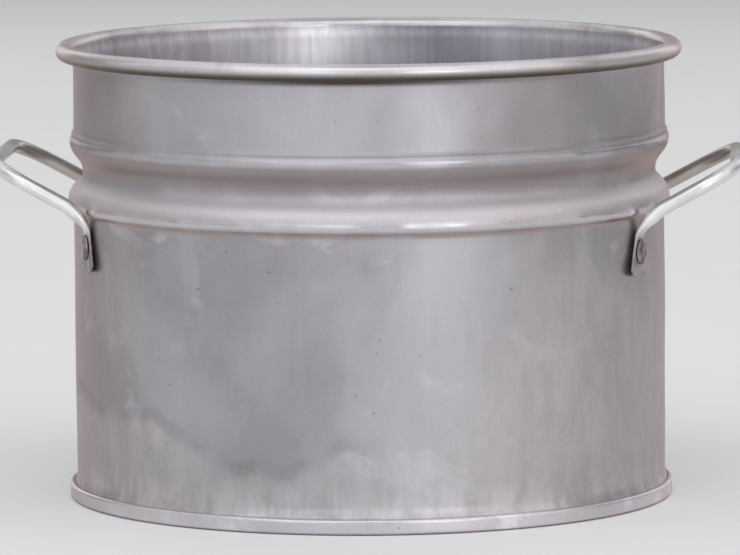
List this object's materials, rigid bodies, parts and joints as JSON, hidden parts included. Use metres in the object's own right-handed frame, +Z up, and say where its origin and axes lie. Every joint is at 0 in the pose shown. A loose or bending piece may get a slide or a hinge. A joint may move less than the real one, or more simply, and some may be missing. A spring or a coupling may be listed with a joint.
{
  "type": "two-handled tub",
  "caption": "Round galvanised sheet-metal tub with a wired rim, a rolled bead, neck and shoulder, a folded base seam and riveted bent-wire handles.",
  "frame": {"origin": "centre of the bottom, on the surface that the tub stands on", "axes": "+Z up along the tub's axis; the two handles stand out along +X and -X"},
  "size_m": [0.267, 0.2224, 0.162],
  "materials": {
    "galvanised_sheet": "dull zinc coating with cloudy patina and fine rolling streaks",
    "handle_wire": "bright zinc-plated wire, smooth",
    "rim_wire": "plain drawn steel wire",
    "rivet": "dull steel rivet, slightly tarnished"
  },
  "bodies": {
    "root": {"tub_wall": "galvanised_sheet", "tub_base": "galvanised_sheet", "rim_wire": "rim_wire", "handle_right": "handle_wire", "handle_left": "handle_wire", "rivet_right_rear": "rivet", "rivet_right_front": "rivet", "rivet_left_rear": "rivet", "rivet_left_front": "rivet"}
  },
  "joints": []
}
